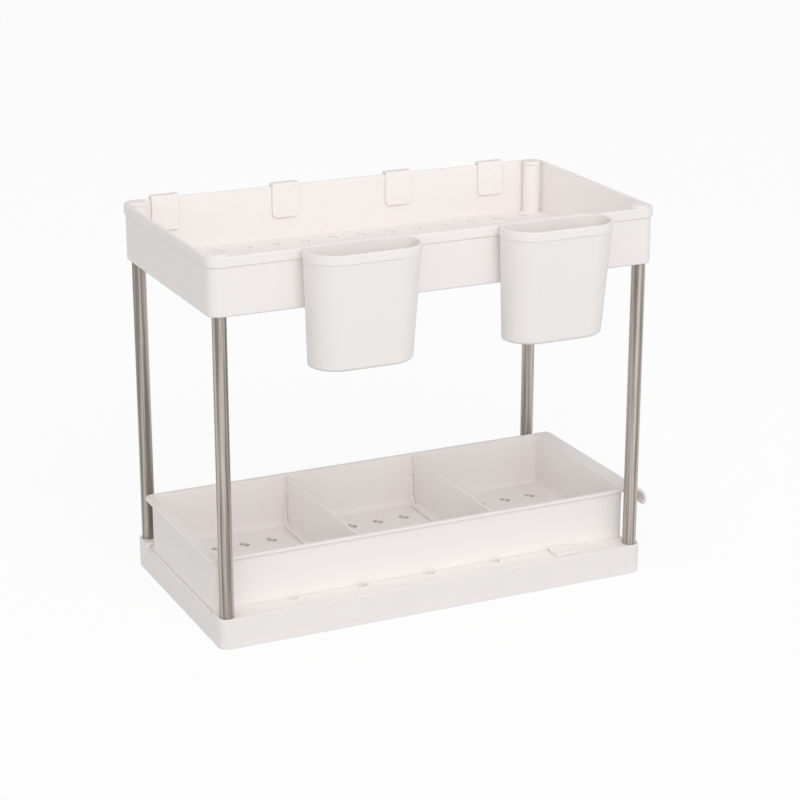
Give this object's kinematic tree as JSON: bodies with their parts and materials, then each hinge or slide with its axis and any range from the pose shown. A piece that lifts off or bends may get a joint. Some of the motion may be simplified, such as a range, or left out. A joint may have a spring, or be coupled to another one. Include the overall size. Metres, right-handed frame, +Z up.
{
  "type": "under sink organizer",
  "caption": "Free-standing two-tier organizer: tray on steel tubes over a base with a divided pull-out drawer, hanging cups and hooks.",
  "frame": {"origin": "middle of the base's footprint, on the surface that it stands on", "axes": "+X towards the drawer's handle, along the length; -Y the front with the cups; +Z up"},
  "size_m": [0.4273, 0.2778, 0.3426],
  "materials": {
    "plastic": "matt warm white moulded plastic",
    "steel": "satin stainless steel tube"
  },
  "bodies": {
    "stand": {"base_tray": "plastic", "leg_front_left": "steel", "leg_front_right": "steel", "leg_back_left": "steel", "leg_back_right": "steel", "upper_tray": "plastic", "cap_front_left": "plastic", "cap_front_right": "plastic", "cap_back_left": "plastic", "cap_back_right": "plastic", "drawer_stop": "plastic"},
    "drawer": {"drawer": "plastic"},
    "divider_left": {"divider_left": "plastic"},
    "divider_right": {"divider_right": "plastic"},
    "hook_1": {"hook_1": "plastic"},
    "hook_2": {"hook_2": "plastic"},
    "hook_3": {"hook_3": "plastic"},
    "hook_4": {"hook_4": "plastic"},
    "cup_left": {"cup_left": "plastic"},
    "cup_right": {"cup_right": "plastic"}
  },
  "joints": [
    {"name": "drawer_slide", "type": "slide", "parent": "stand", "child": "drawer", "axis": [1, 0, 0], "range_m": [0, 0.25]},
    {"name": "divider_left_lift", "type": "slide", "parent": "drawer", "child": "divider_left", "axis": [0, 0, 1], "range_m": [0, 0.06]},
    {"name": "divider_right_lift", "type": "slide", "parent": "drawer", "child": "divider_right", "axis": [0, 0, 1], "range_m": [0, 0.06]},
    {"name": "hook_1_lift", "type": "slide", "parent": "stand", "child": "hook_1", "axis": [0, 0, 1], "range_m": [0, 0.035]},
    {"name": "hook_2_lift", "type": "slide", "parent": "stand", "child": "hook_2", "axis": [0, 0, 1], "range_m": [0, 0.035]},
    {"name": "hook_3_lift", "type": "slide", "parent": "stand", "child": "hook_3", "axis": [0, 0, 1], "range_m": [0, 0.035]},
    {"name": "hook_4_lift", "type": "slide", "parent": "stand", "child": "hook_4", "axis": [0, 0, 1], "range_m": [0, 0.035]},
    {"name": "cup_left_lift", "type": "slide", "parent": "stand", "child": "cup_left", "axis": [0, 0, 1], "range_m": [0, 0.03]},
    {"name": "cup_right_lift", "type": "slide", "parent": "stand", "child": "cup_right", "axis": [0, 0, 1], "range_m": [0, 0.03]}
  ]
}
